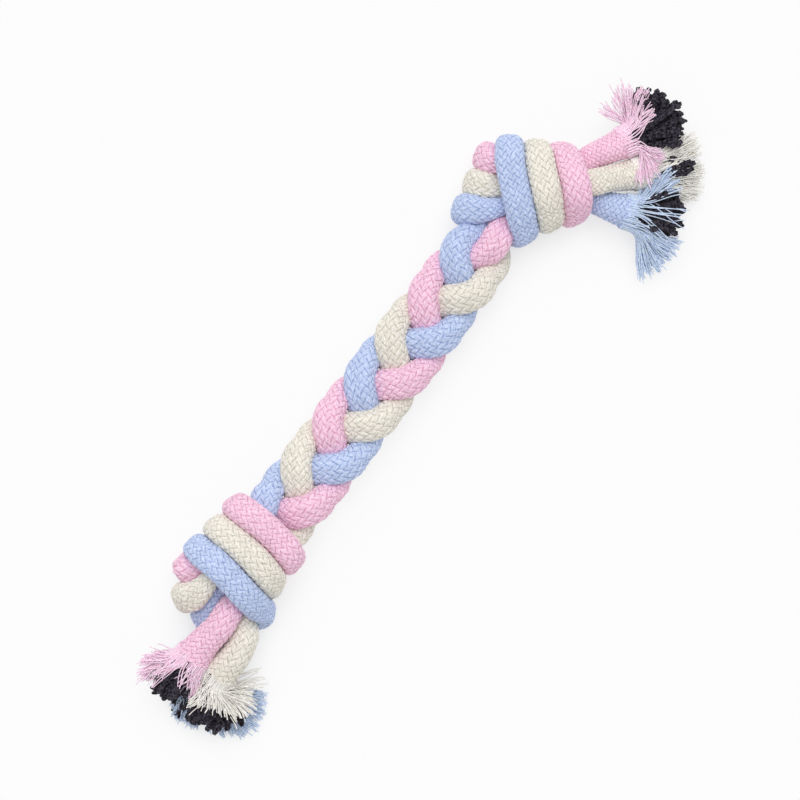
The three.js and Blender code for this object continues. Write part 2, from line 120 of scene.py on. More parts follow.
# Routes through knot A, from the sheath's end at the tail to the plait
KNOT_A = {
    "pink": [
        (-97, -6.6, 13.4, "free"), (-90, -6.6, 14.6, "free"), (-83.5, -6, 15.4, "free"),
        (-77.5, -4.8, 14.8, "fold"), (-71.5, -2.6, 13.7, "held"), (-65, 1.2, 12.4, "held"),
        (-58, 6.4, 11.2, "held"), (-54.2, 9.3, 15, "fold"), (-53.2, 8, 22.4, "band"),
        (-53.6, 0, 25.2, "band"), (-55.6, -8.4, 22.6, "band"), (-57.2, -10.4, 15, "fold"),
        (-57.8, -10.2, 8, "fold"), (-62.5, -8.4, 3.2, "band"), (-69.5, -1.5, 2.4, "band"),
        (-77, 3.6, 4.4, "pinch"), (-80, 4.9, 10.4, "pinch"), (-77.6, 5.5, 16.6, "pinch"),
        (-70.5, 6.2, 17.8, "held"), (-63.5, 5, 17.4, "held"), (-56.5, 2.4, 14.6, "held"),
        (-52, -0.2, 12.6, "fold"),
    ],
    "cream": [
        (-96, -15, 9.8, "free"), (-89, -13.9, 9.8, "free"), (-83.5, -12.8, 10, "free"),
        (-78.5, -11.4, 10.4, "fold"), (-73.5, -7, 9.2, "held"), (-69, 0.2, 8.6, "held"),
        (-64.6, 6.6, 10.4, "held"), (-62.2, 9.1, 15.2, "fold"), (-61.3, 8, 22.4, "band"),
        (-61.6, -1, 25.2, "band"), (-63.4, -10, 22.4, "band"), (-65.8, -12.8, 15, "fold"),
        (-66.6, -12.4, 8.4, "fold"), (-69.6, -10.4, 3.4, "band"), (-75, -5.6, 2.4, "band"),
        (-81.2, -0.8, 4.4, "pinch"), (-84.6, 1, 10.4, "pinch"), (-81, 1.6, 16.4, "pinch"),
        (-73, 2, 18, "held"), (-66.5, 0, 18.6, "held"), (-60.5, -4, 18.8, "held"),
        (-55, -8.2, 16.4, "fold"), (-51.5, -9.2, 14.4, "plait"),
    ],
    "blue": [
        (-97, -9.4, 4.2, "free"), (-90, -8.2, 4.2, "free"), (-84.5, -7.6, 5, "free"),
        (-79, -8.2, 8.2, "fold"), (-75, -4, 8.4, "held"), (-72.5, 2, 8.6, "held"),
        (-70.6, 7, 10.4, "held"), (-69.8, 9.2, 15.4, "fold"), (-69.5, 8.4, 22.6, "band"),
        (-70, -1, 25.4, "band"), (-72, -10.4, 22.6, "band"), (-74.4, -12.4, 15.4, "fold"),
        (-76.4, -12.4, 8.8, "fold"), (-77.4, -11.4, 3.4, "band"), (-79, -8, 2.4, "band"),
        (-82.8, -4, 4.4, "pinch"), (-84.4, -3, 9.6, "pinch"), (-81.6, -2.8, 14.4, "pinch"),
        (-75.5, -2.2, 17.6, "held"), (-70, -4, 18.8, "held"), (-65, -5, 15.4, "held"),
        (-60, -4.6, 13, "held"), (-55.5, -2, 19, "held"), (-51, 0.8, 19.6, "fold"),
    ],
}

# Routes through knot B, from the plait to the sheath's end at the tail
KNOT_B = {
    "pink": [
        (45.2, -3.9, 14.6, "plait"), (49.6, -4.4, 14.4, "plait"), (55.5, -5.2, 10.6, "held"),
        (63, -4.8, 9, "held"), (70, -4.4, 9, "held"), (74.6, -4.4, 10.4, "fold"),
        (76.2, -4.6, 15.6, "fold"), (76.2, -6.6, 20.6, "band"), (74.6, -11, 22.2, "band"),
        (71.4, -15.4, 20, "band"), (68.6, -16.8, 13.4, "fold"), (68.2, -15, 7, "fold"),
        (68.6, -9, 2.8, "band"), (68.4, -0.6, 2.4, "band"), (66.6, 5.2, 4, "pinch"),
        (64.9, 7.7, 9.2, "pinch"), (64.6, 7.1, 14.4, "pinch"), (67.2, 3.8, 15.4, "held"),
        (72.4, -1.4, 15.2, "held"), (77, -7, 14.8, "held"), (81, -11.2, 14, "fold"),
        (86, -14, 13, "slim"), (94.6, -18, 11.6, "slim"),
    ],
    "cream": [
        (45, -6.6, 7.6, "plait"), (49, -2.2, 8.6, "fold"), (54, -0.2, 8.8, "held"),
        (61, 0.4, 9, "held"), (68, 0.8, 9, "held"), (72.6, 1.2, 10.6, "fold"),
        (75, 1.2, 15.8, "fold"), (74.2, -1.2, 20.8, "band"), (71.2, -6, 22.4, "band"),
        (67, -12.2, 20.4, "band"), (64.8, -14, 13.4, "fold"), (63.2, -11.6, 7, "fold"),
        (61, -4.6, 2.8, "band"), (59.4, 2.8, 2.4, "band"), (57.8, 7.2, 4.6, "pinch"),
        (57.2, 8.8, 9.6, "pinch"), (58.4, 7.4, 14.6, "pinch"), (63, 2.6, 15.2, "held"),
        (67.8, -3.8, 15, "held"), (73, -10.2, 14.6, "held"), (77.6, -15.8, 13.4, "fold"),
        (82, -20.4, 12, "slim"), (89, -26, 10, "slim"),
    ],
    "blue": [
        (44.8, 4.4, 11.4, "plait"), (48.5, 4.8, 11, "plait"), (54, 4.8, 9.6, "held"),
        (60.5, 5.4, 9, "held"), (66.6, 6.6, 10.2, "fold"), (70.8, 8.3, 15.6, "fold"),
        (69.4, 6.4, 21, "band"), (65.8, 0.6, 22.8, "band"), (60, -7.2, 20.8, "band"),
        (57.6, -9, 13.8, "fold"), (56, -7.4, 7, "fold"), (54.4, -1.4, 2.6, "band"),
        (52.4, 3.8, 3.8, "pinch"), (50.8, 6.6, 9.4, "pinch"), (53, 5.8, 14.4, "pinch"),
        (58, 0, 15.2, "held"), (63, -6, 15, "held"), (68.4, -12.6, 14.4, "held"),
        (73.6, -18.4, 13.4, "fold"), (74.9, -23.4, 12.2, "slim"), (78.4, -31, 10.4, "free"),
    ],
}

# Frayed sheaths: each lock's tip and how many threads it gathers
FRINGE = {
    "pink_a": [
        (-109, 0.8, 12, 20), (-107.5, 2.2, 13, 24), (-105.5, 3.8, 13, 26), (-103.5, 4, 13, 22),
        (-101.2, 2.8, 14, 18), (-99.6, 3.6, 15, 3), (-105.6, -1, 17.5, 12), (-104, -2.6, 18, 6),
        (-108.5, -2, 18, 3), (-104, -8.8, 18.5, 5), (-104.5, -11.6, 15, 14),
        (-104.8, -13.2, 13.5, 20), (-102.5, -13.8, 13, 20),
    ],
    "cream_a": [
        (-107.5, -14.2, 15, 10), (-105.5, -16, 16, 12), (-104.5, -18.5, 16, 14),
        (-103.5, -21.5, 16, 18), (-102.5, -24.5, 15.5, 20), (-101.5, -27.5, 15, 20),
        (-98, -23.5, 14.5, 16), (-95.5, -22, 13.5, 12), (-99.5, -29, 14, 14),
        (-97.5, -29.5, 13, 14), (-95.5, -28.5, 11, 14), (-93.5, -26, 10, 14),
        (-91.5, -24.5, 10, 8), (-90.5, -27.8, 9, 4), (-88.5, -26.5, 9, 4), (-87.3, -24, 10, 4),
    ],
    "blue_a": [
        (-110.5, -11, 4, 30), (-112.2, -12.4, 4, 40), (-112.6, -14.4, 4, 40), (-112.3, -17, 4, 40),
        (-111.8, -19.2, 3, 34), (-110, -23.5, 2.5, 24), (-108.6, -27, 2.5, 40),
        (-107, -29, 2.4, 30), (-105.6, -31, 2.2, 40), (-104, -31.6, 2.2, 26), (-102, -33, 2, 44),
        (-99.5, -32, 2, 18), (-97.6, -32.4, 2, 44), (-95, -31, 2, 22), (-93.2, -29.8, 2.2, 34),
    ],
    "pink_b": [
        (96, -6.5, 13, 10), (97.8, -5.2, 13, 4), (100, -7.5, 14, 8), (103.5, -5.2, 13, 6),
        (104.8, -6.5, 13, 8), (106, -8.5, 13, 8), (104, -10.5, 15, 18), (107, -11.6, 15.5, 20),
        (108, -13, 16, 16), (106.5, -14.4, 16.5, 10), (105, -17.6, 17.5, 9),
        (103.4, -18.4, 17.5, 8), (85, -28, 17, 9), (87, -29.5, 17, 10), (90, -29.5, 17, 14),
        (92.5, -29, 17, 14), (95, -28.5, 16.5, 14), (96.5, -27.5, 16, 10),
    ],
    "cream_b": [
        (102, -28.5, 10, 30), (104, -29.5, 10, 34), (105, -31.2, 9.5, 36), (104.8, -33.2, 9, 36),
        (103.6, -35.4, 8, 30), (101, -38, 5, 30), (99.2, -39.8, 5, 34), (97, -41.2, 4, 36),
        (94.8, -42.2, 4, 36), (92.8, -42.6, 4, 30), (91.4, -41.4, 5, 22),
    ],
    "blue_b": [
        (65.2, -44.5, 5, 22), (67.5, -45.2, 5, 24), (69.5, -46.6, 6, 26), (71.5, -46.2, 6.5, 26),
        (73.5, -46.6, 7, 26), (75.5, -46.4, 8, 26), (77.5, -46.8, 9, 22), (79.5, -46.2, 9, 16),
        (83.5, -44, 15, 3), (86, -42, 16, 2), (88, -43, 15, 2), (91, -37, 14, 8),
        (93, -35.5, 14, 10), (93.5, -33, 13, 12), (95, -32, 13, 12), (92, -31, 13, 10),
        (88, -31.5, 13, 12), (85, -29, 12, 14), (90, -30, 13, 12),
    ],
}

# Core yarns: heading and half spread in degrees, reach, height of the tips, half range, number
CORE = {
    "pink_a": (176, 24, 14, 13.5, 3.0, 44),
    "cream_a": (212, 40, 17, 9.5, 2.5, 70),
    "blue_a": (212, 30, 15, 4, 2.0, 40),
    "pink_b": (-16, 42, 18.5, 11.5, 4.5, 80),
    "cream_b": (-42, 9, 16, 9, 2.0, 24),
    "blue_b": (-52, 34, 16, 10.5, 3.5, 60),
}

# Braid: columns of floats round the rope, and their pitch in the tails and elsewhere
BRAID_COLUMNS = 18
COLUMN_PARTS = 6
FLOAT_ROWS = 8
TAIL_PITCH = 1.3
ROPE_PITCH = 1.92
TAIL_LENGTH = 22.0
PITCH_CHANGE = 8.0
FLOAT_RISE = 0.72
FLOAT_REACH = 0.64
COLUMN_SHARE = 0.75
THREADS_PER_YARN = 2
CORNER_FULLNESS = 0.09
FINE_PER_STEP = 8

# Uneven yarns: rows of tones, how far a tone lifts its float, and how columns and rows stray
TONE_ROWS = 2048
TONE_LIFT = 0.12
WANDER = 0.8
WANDER_LENGTH = 31.0
UNEVEN = 0.2
UNEVEN_WAVES = (2, 3)

# Where the rope is parted for bending, along X and ahead of the tails' hinges
PLAIT_PARTS = (-29.0, 27.5)
TAIL_PART = -8.0

# Noise in the finishes: lumps per metre and layers of detail
DYE_PATCHES = (90, 3)
# Noise that spreads the painted groove shade unevenly
GROOVE_SHADE_PATCHES = (700, 2)
# Noise for random specks of tone and for painted glints on the crests
FIBRE_SPECKS_AND_GLINTS = (2000, 3)
SHEATH_FUZZ = (4200, 4)
THREAD_STREAKS_AND_HIGHLIGHTS = (2200, 2)
THREAD_FUZZ = (9000, 2)
YARN_TUFTS_AND_HIGHLIGHTS = (1500, 5)
YARN_FUZZ = (5000, 4)

# Strength and height in metres of the fuzz
SHEATH_BUMP = (0.5, 0.00016)
THREAD_BUMP = (0.3, 0.00006)
YARN_BUMP = (0.9, 0.0003)

# The photo's upward direction along the toy's axes, and its middle, width and level
PHOTO_UP = (0.8, 0.6)
PHOTO_MIDDLE = (-3.0, -10.0, 0.0)
PHOTO_WIDTH = 224.0
PHOTO_LEVEL = 14.0


# Settings that a user would change


def length_property(name, description, default, high, low=0.0):
    """A length, given in millimetres."""
    return FloatProperty(name=name, description=description, default=default * MM, min=low * MM,
                         max=high * MM, subtype="DISTANCE", unit="LENGTH")


def colour_property(name, description, default):
    """A colour."""
    return FloatVectorProperty(name=name, description=description, default=default,
                               min=0.0, max=1.0, subtype="COLOR")


def number_property(name, description, default, high, low=0.0):
    """A plain number."""
    return FloatProperty(name=name, description=description, default=default, min=low, max=high)


class RopeSettings(bpy.types.PropertyGroup):
    """Looks of the braided sheaths"""

    crest_lift: length_property(
        "Crest Lift", "How far yarns stand proud of the rope's solid", default=0.25, high=1.0)
    relief: length_property(
        "Relief", "Height of a yarn over the groove beside it", default=0.31, high=1.0)
    pink: colour_property("Pink", "Colour of the pink rope", (0.955, 0.59, 0.765))
    cream: colour_property("Cream", "Colour of the cream rope", (0.85, 0.81, 0.715))
    blue: colour_property("Blue", "Colour of the blue rope", (0.515, 0.62, 0.895))


class FrayedEndSettings(bpy.types.PropertyGroup):
    """Sizes and colours of the frayed ends"""

    thread_radius: length_property(
        "Thread Radius", "Half thickness of a thread of the sheath",
        default=0.16, high=0.5, low=0.02)
    yarn_radius: length_property(
        "Yarn Radius", "Half thickness of a core yarn", default=0.72, high=1.5, low=0.2)
    thread_share: number_property(
        "Thread Share", "Threads in a lock, as a share of the usual number",
        default=1.35, high=4.0, low=0.2)
    collar_count: IntProperty(
        name="Collar Threads", description="Short threads round the end of one sheath",
        default=80, min=0, max=400)
    core: colour_property("Core", "Colour of the core yarns", (0.019, 0.0165, 0.023))


class StageSettings(bpy.types.PropertyGroup):
    """Floor and light"""

    floor: colour_property("Floor", "Colour of the floor", (0.972, 0.972, 0.972))
    paleness: number_property(
        "Paleness", "How far the open floor is seen as plain white", default=0.93, high=1.0)
    sheltered_paleness: number_property(
        "Sheltered Paleness", "The same for floor that the toy covers", default=0.35, high=1.0)
    shelter_reach: length_property(
        "Shelter Reach", "How near the toy covers the floor", default=12.0, high=100.0)
    sky: number_property(
        "Surrounding Light", "Strength of the even light from all round", default=0.62, high=2.0)
    lamp: number_property("Lamp", "Strength of the soft lamp above", default=1.6, high=10.0)


# Routes of the ropes


def plait_points(colour):
    """Points of the flat three-strand plait, each strand swinging from edge to edge."""
    points = []
    count = int((PLAIT_END - PLAIT_START) / PLAIT_POINT_EVERY) + 1
    for i in range(count):
        x = PLAIT_START + i * PLAIT_POINT_EVERY
        turn = 2 * math.pi * (x - PLAIT_TOP_EDGE[colour]) / PLAIT_CYCLE + math.pi / 2
        along = (x - PLAIT_START) / (PLAIT_END - PLAIT_START)
        height = PLAIT_HEIGHT_A + (PLAIT_HEIGHT_B - PLAIT_HEIGHT_A) * along
        y = PLAIT_Y + PLAIT_SWING * math.sin(turn)
        points.append((x, y, height + PLAIT_LIFT * math.sin(2 * turn), "plait"))
    return points


def smooth_line(points, parts, power=0.25):
    """A smooth line through points, with a given number of parts between neighbours."""
    shortest = 1e-4
    ends = [2 * points[0] - points[1], *points, 2 * points[-1] - points[-2]]
    share = np.arange(parts)[:, None] / parts
    line = []
    for a, b, c, d in zip(ends, ends[1:], ends[2:], ends[3:]):
        ab, bc, cd = (max(float(((q - p) ** 2).sum()) ** power, shortest)
                      for p, q in ((a, b), (b, c), (c, d)))
        leave = ((b - a) / ab - (c - a) / (ab + bc) + (c - b) / bc) * bc
        enter = ((c - b) / bc - (d - b) / (bc + cd) + (d - c) / cd) * bc
        line.append(b + leave * share + (3 * (c - b) - 2 * leave - enter) * share ** 2
                    + (2 * (b - c) + leave + enter) * share ** 3)
    return np.vstack([*line, points[-1]])


def lengths_along(line):
    """Length from the start of a line to each of its points."""
    steps = np.linalg.norm(np.diff(line, axis=0), axis=1)
    return np.concatenate([[0], np.cumsum(steps)])


def lay_rope(colour):
    """One rope from tail to tail: even points, with half width and half thickness."""
    stations = [*KNOT_A[colour], *plait_points(colour), *KNOT_B[colour]]
    parts = 40
    line = smooth_line([np.array(s[:3], float) for s in stations], parts)
    lengths = lengths_along(line)
    count = round(lengths[-1] / ROPE_STEP)
    places = np.linspace(0, lengths[-1], count + 1)
    points = np.stack([np.interp(places, lengths, line[:, k]) for k in range(3)], axis=1)
    station = np.interp(places, lengths, np.arange(len(line)) / parts)
    held = np.array([HOLDS[s[3]] for s in stations])
    numbers = np.arange(len(stations))
    width, thick, swell = (np.interp(station, numbers, held[:, k]) for k in range(3))
    from_end = np.minimum(places, lengths[-1] - places)
    swell = swell + FLARE * np.clip(1 - from_end / FLARE_LENGTH, 0, 1) ** FLARE_POWER
    return {"points": points, "width": ROPE_RADIUS * width, "thick": ROPE_RADIUS * thick,
            "swell": swell, "step": lengths[-1] / count}


def unit(vectors):
    """Vectors of length one."""
    shortest = 1e-9
    return vectors / np.maximum(np.linalg.norm(vectors, axis=-1, keepdims=True), shortest)


def find_frames(points):
    """Tangents, and the directions in which the rope is thin: outwards on its bends."""
    reach, upright = 3, 0.05
    last = len(points) - 1
    at = np.arange(last + 1)

    def pick(index):
        return points[np.clip(index, 0, last)]

    tangent = unit(pick(at + 1) - pick(at - 1))
    bend = 2 * points - pick(at - reach) - pick(at + reach)
    total = sum(bend[np.clip(at + k, 0, last)] for k in (-1, 0, 1))
    total = total + np.array([0, 0, upright])
    return tangent, unit(total - tangent * (total * tangent).sum(1, keepdims=True))


def reach_of(toward, tangent, thin, width, thick):
    """How far a section reaches from its centre, square to the rope, towards a direction."""
    steepest = 0.6
    out = (toward * thin).sum(1)
    along = (toward * tangent).sum(1)
    across = np.sqrt(np.maximum(0, 1 - out ** 2 - along ** 2))
    square = np.maximum(np.hypot(out, across), steepest)
    return np.hypot(thick * out, width * across) / square


def near_pairs(points, owner, place):
    """Pairs of points that may touch, leaving out neighbours on one rope."""
    self_skip = 7
    near = 1.6 * ROPE_DIAMETER
    gap = np.linalg.norm(points[:, None] - points[None], axis=2)
    one, other = np.nonzero(np.triu(gap < near, 1))
    apart = (owner[one] != owner[other]) | (np.abs(place[one] - place[other]) >= self_skip)
    return one[apart], other[apart]


def settle(ropes):
    """The ropes press each other apart until none runs into another, itself or the floor."""
    passes, free_passes = 300, 60
    hold, smooth, press = 0.04, 0.1, 0.12
    late_smooth = smooth / 4
    refresh = 10
    counts = [len(r["points"]) for r in ropes]
    cuts = np.cumsum(counts)[:-1]
    owner = np.repeat(np.arange(len(ropes)), counts)
    place = np.concatenate([np.arange(c) for c in counts])
    width, thick, points = (np.concatenate([r[key] for r in ropes])
                            for key in ("width", "thick", "points"))
    home = points.copy()
    inner = (place > 0) & (place < np.array(counts)[owner] - 1)
    up = np.tile(np.array([0.0, 0.0, 1.0]), (len(points), 1))
    for step in range(passes):
        frames = [find_frames(p) for p in np.split(points, cuts)]
        tangent, thin = (np.concatenate(part) for part in zip(*frames))
        loose = step < passes - free_passes
        middle = (np.roll(points, 1, axis=0) + np.roll(points, -1, axis=0)) / 2
        moved = points + (middle - points) * (smooth if loose else late_smooth)
        moved = moved + (home - moved) * (hold if loose else 0)
        points = np.where(inner[:, None], moved, points)
        if step % refresh == 0:
            one, other = near_pairs(points, owner, place)
        offset = points[one] - points[other]
        distance = np.linalg.norm(offset, axis=1)
        offset = offset / distance[:, None]
        need = TOUCH_GAP
        for side in (one, other):
            need = need + reach_of(offset, tangent[side], thin[side], width[side], thick[side])
        push = offset * (np.maximum(need - distance, 0) * press)[:, None]
        for k in range(3):
            points[:, k] += np.bincount(one, push[:, k], len(points))
            points[:, k] -= np.bincount(other, push[:, k], len(points))
        for first in (0, 1):
            a = np.nonzero(place[:-1] % 2 == first)[0]
            a = a[owner[a] == owner[a + 1]]
            link = points[a + 1] - points[a]
            length = np.linalg.norm(link, axis=1)
            spacing = np.array([r["step"] for r in ropes])[owner[a]]
            link = link * (0.5 * (length - spacing) / length)[:, None]
            points[a] += link
            points[a + 1] -= link
        low = reach_of(up, tangent, thin, width, thick) - FLOOR_PRESS
        points[:, 2] = np.maximum(points[:, 2], low)
    for rope, part in zip(ropes, np.split(points, cuts)):
        rope["points"] = part


def carry_axes(tangent):
    """Axes that follow the rope without twisting round it."""
    side = np.array([0.0, 1.0, 0.0])
    sides = []
    for t in tangent:
        side = side - t * side.dot(t)
        side = side / np.linalg.norm(side)
        sides.append(side)
    sides = np.array(sides)
    return sides, np.cross(tangent, sides)


def refine(rope):
    """A finer line, its axes and the shape of its section, for the braid."""
    points = rope["points"]
    _, thin = find_frames(points)
    line = smooth_line(list(points), FINE_PER_STEP)
    along = np.arange(len(line)) / FINE_PER_STEP
    tangent = unit(np.gradient(line, axis=0))
    flat = (thin[:, :, None] * thin[:, None, :]).reshape(-1, 9)
    stations = np.arange(len(points))
    rope["line"] = line
    rope["thin"] = np.stack([np.interp(along, stations, flat[:, k]) for k in range(9)], axis=1)
    sizes = [rope[k] + rope["swell"] for k in ("width", "thick")]
    rope["size"] = np.stack([np.interp(along, stations, size) for size in sizes], axis=1)
    rope["side"], rope["up"] = carry_axes(tangent)
    rope["tangent"] = tangent
    length = lengths_along(line)
    rope["length"] = length
    inward = np.clip((length[-1] - length - TAIL_LENGTH) / PITCH_CHANGE, 0, 1)
    pitch = TAIL_PITCH + (ROPE_PITCH - TAIL_PITCH) * inward
    floats = np.cumsum(np.diff(length) / ((pitch[1:] + pitch[:-1]) / 2))
    rope["floats"] = np.concatenate([[0], floats])


@lru_cache(maxsize=None)
def rope_routes():
    """The three ropes, laid, settled and refined."""
    ropes = [lay_rope(colour) for colour in ROPES]
    settle(ropes)
    for rope in ropes:
        refine(rope)
    return dict(zip(ROPES, ropes))


def pick_at(rope, key, places):
    """A rope's values at lengths along it, in millimetres."""
    index = np.interp(places, rope["length"], np.arange(len(rope["line"])))
    before = np.minimum(index.astype(int), len(rope["line"]) - 2)
    share = (index - before)[:, None]
    values = rope[key]
    return values[before] * (1 - share) + values[before + 1] * share


def surface_points(rope, places, angles, lift):
    """Points of the sheath at lengths along it and angles round it."""
    full_flatness = 0.25
    spoke = pick_at(rope, "side", places) * np.cos(angles)[:, None]
    spoke = unit(spoke + pick_at(rope, "up", places) * np.sin(angles)[:, None])
    thin = pick_at(rope, "thin", places).reshape(-1, 3, 3)
    outward = np.clip(np.einsum("ni,nij,nj->n", spoke, thin, spoke), 0, 1)
    width, thick = pick_at(rope, "size", places).T
    radius = 1 / np.sqrt(outward / thick ** 2 + (1 - outward) / width ** 2)
    flatness = np.clip((1 - thick / width) / full_flatness, 0, 1)
    radius = radius * (1 + CORNER_FULLNESS * flatness * 4 * outward * (1 - outward))
    points = pick_at(rope, "line", places) + spoke * (radius + lift)[:, None]
    points[:, 2] = np.maximum(points[:, 2], 0)
    return points


def ahead_of(end, points):
    """Distance ahead of the level line where tails lift."""
    x, y, heading = TAIL_HINGES[end]
    turn = math.radians(heading)
    return (points[:, 0] - x) * math.cos(turn) + (points[:, 1] - y) * math.sin(turn)


def stretch_rows(colour):
    """First and last row of a rope's tails, knots and plait."""
    rope = rope_routes()[colour]
    line = rope["line"]
    half = len(line) // 2
    neck_a = np.nonzero(line[:half, 0] < PLAIT_PARTS[0])[0].max()
    neck_b = half + np.nonzero(line[half:, 0] > PLAIT_PARTS[1])[0].min()
    tail_a = np.nonzero(ahead_of("a", line[:half]) < TAIL_PART)[0].min()
    tail_b = half + np.nonzero(ahead_of("b", line[half:]) < TAIL_PART)[0].max()
    marks = [rope["floats"][i] for i in (0, tail_a, neck_a, neck_b, tail_b, len(line) - 1)]
    rows = [int(round(mark)) * FLOAT_ROWS for mark in marks]
    rows[-1] = int((marks[-1] - FLOAT_RISE) * FLOAT_ROWS)
    return dict(zip(("tail_a", "knot_a", "plait", "knot_b", "tail_b"), zip(rows, rows[1:])))


def row_places(rope, floats):
    """Lengths along a rope at numbers of floats from its first end."""
    return np.interp(floats, rope["floats"], rope["length"])


# Braided sheaths


def new_object(name, data):
    """An object for a mesh, curve, lamp or camera, in the scene."""
    piece = bpy.data.objects.new(name, data)
    bpy.context.scene.collection.objects.link(piece)
    return piece


def mesh_object(name, bm, material):
    """An object for a mesh that is done, in the scene."""
    mesh = bpy.data.meshes.new(name)
    bm.to_mesh(mesh)
    bm.free()
    mesh.materials.append(material)
    return new_object(name, mesh)


def close_end(bm, edges):
    """Closes an open end of a tube with a fan to its middle."""
    rim = list(dict.fromkeys(v for e in edges for v in e.verts))
    middle = bm.verts.new(sum((v.co for v in rim), Vector()) / len(rim), rim[0])
    for e in edges:
        bm.faces.new((*e.verts, middle))


def float_height(row, aside):
    """Height of a float, from 0 to 1: arched along its yarn, with grooves beside it."""
    arch_power = 4
    over = row % FLOAT_ROWS / FLOAT_ROWS - 0.5
    along = (COLUMN_SHARE * aside + over + FLOAT_RISE * aside) / math.sqrt(2)
    return (1 - (2 * over) ** arch_power) * np.clip(1 - (along / FLOAT_REACH) ** 2, 0, 1)


def braid_tube(name, colour, first, last):
    """A stretch of braided sheath between two rows: floats in zigzag columns."""
    settings = bpy.context.scene.rope_toy
    weld = 1e-8
    rope = rope_routes()[colour]
    around = BRAID_COLUMNS * COLUMN_PARTS
    bm = bmesh.new()
    bmesh.ops.create_grid(bm, x_segments=around, y_segments=last - first, size=0.5)
    flat = np.array([v.co for v in bm.verts])
    column = np.rint((flat[:, 0] + 0.5) * around).astype(int)
    row = np.rint((flat[:, 1] + 0.5) * (last - first)).astype(int) + first
    whole, part = np.divmod(column % around, COLUMN_PARTS)
    aside = (part / COLUMN_PARTS - 0.5) * np.where(whole % 2 == 0, 1, -1)
    slant = FLOAT_RISE * (aside + 0.5)
    stagger = FLOAT_ROWS // 2 * (whole % 2)
    height = float_height(row + stagger, aside)
    beside = float_height(row + FLOAT_ROWS // 2 - stagger, aside)
    height = np.where(part == 0, np.maximum(height, beside), height)
    tones = np.random.default_rng(ROPES.index(colour)).random((TONE_ROWS, BRAID_COLUMNS))
    tone = tones[(row + stagger) // FLOAT_ROWS, whole]
    crest = settings.crest_lift / MM
    relief = settings.relief / MM
    lift = crest - relief * (1 - height) + TONE_LIFT * (tone - 0.5) * height
    places = row_places(rope, row / FLOAT_ROWS + slant)
    angles = 2 * math.pi * (column % around) / around
    slow = 2 * math.pi * places / WANDER_LENGTH + ROPES.index(colour)
    round_waves, along_waves = UNEVEN_WAVES
    places = places + UNEVEN * np.sin(round_waves * angles + along_waves * slow)
    angles = angles + WANDER / ROPE_RADIUS * np.sin(slow)
    points = (surface_points(rope, places, angles, lift) + SHIFT) * MM
    kept = {"yarn_relief": height, "yarn_tone": tone, "yarn_thread": (row + stagger) / FLOAT_ROWS}
    layers = [bm.verts.layers.float.new(key) for key in kept]
    for v, point, *values in zip(bm.verts, points, *kept.values()):
        v.co = point
        for layer, value in zip(layers, values):
            v[layer] = value
    bmesh.ops.remove_doubles(bm, verts=bm.verts, dist=weld)
    rims = [e for e in bm.edges if e.is_boundary]
    ends = pick_at(rope, "line", row_places(rope, np.array([first, last]) / FLOAT_ROWS))
    begin, finish = (Vector((point + SHIFT) * MM) for point in ends)
    at_begin = [(e.verts[0].co - begin).length < (e.verts[0].co - finish).length for e in rims]
    for side in (True, False):
        close_end(bm, [e for e, here in zip(rims, at_begin) if here == side])
    bmesh.ops.recalc_face_normals(bm, faces=bm.faces)
    piece = mesh_object(name, bm, sheath_material(colour))
    piece.data.shade_smooth()
    return piece


def route_path(colour, first, last):
    """The centre line of a stretch, in metres."""
    spacing = 1.0
    rope = rope_routes()[colour]
    start, stop = row_places(rope, np.array([first, last]) / FLOAT_ROWS)
    places = np.append(np.arange(start, stop - spacing / 2, spacing), stop)
    return (pick_at(rope, "line", places) + SHIFT) * MM


# Finishes


def new_material(name):
    """A material, its tree and its shader."""
    material = bpy.data.materials.new(name)
    material.use_nodes = True
    tree = material.node_tree
    shader = tree.nodes["Principled BSDF"]
    return material, tree, shader


def set_inputs(tree, node, values):
    """Gives inputs of a node a link, a number or a colour each."""
    for key, value in values.items():
        socket = node.inputs[key]
        if hasattr(value, "links"):
            tree.links.new(value, socket)
        elif isinstance(value, (int, float)):
            socket.default_value = value
        else:
            socket.default_value = (*value, 1.0)


def add_node(tree, kind, values, **settings):
    """A node with its settings and its inputs."""
    node = tree.nodes.new(f"ShaderNode{kind}")
    for key, value in settings.items():
        setattr(node, key, value)
    set_inputs(tree, node, values)
    return node


def link_noise(tree, scale, detail):
    """Noise over the object, at a scale in lumps per metre."""
    place = add_node(tree, "TexCoord", {}).outputs["Object"]
    noise = add_node(tree, "TexNoise", {"Scale": scale, "Detail": detail, "Vector": place})
    return noise.outputs["Fac"]


def mix_colours(tree, share, one, other, blend="MIX"):
    """A mix of two colours, each a colour or a socket."""
    share_in, one_in, other_in, mixed_out = 0, 6, 7, 2
    mix = add_node(tree, "Mix", {share_in: share, one_in: one, other_in: other},
                   data_type="RGBA", blend_type=blend)
    return mix.outputs[mixed_out]


def add_bump(tree, shader, height, strength, distance):
    """Fine roughness on a surface."""
    bump = add_node(tree, "Bump", {"Strength": strength, "Distance": distance, "Height": height})
    set_inputs(tree, shader, {"Normal": bump.outputs["Normal"]})


def spread_range(tree, value, low, high):
    """A value from 0 to 1 spread between two others."""
    spread = add_node(tree, "MapRange", {"Value": value, "To Min": low, "To Max": high})
    return spread.outputs["Result"]


def use_math(tree, operation, one, other=0.0):
    """A sum on a value of the tree and a number or another value."""
    return add_node(tree, "Math", {0: one, 1: other}, operation=operation).outputs[0]


def shade_colour(tree, colour, value, low, high):
    """A colour made darker or paler by a value from 0 to 1."""
    shade = spread_range(tree, value, low, high)
    grey = add_node(tree, "CombineColor", {"Red": shade, "Green": shade, "Blue": shade})
    return mix_colours(tree, 1.0, colour, grey.outputs["Color"], "MULTIPLY")


def read_attribute(tree, name):
    """A value kept on the mesh."""
    return add_node(tree, "Attribute", {}, attribute_name=name).outputs["Fac"]


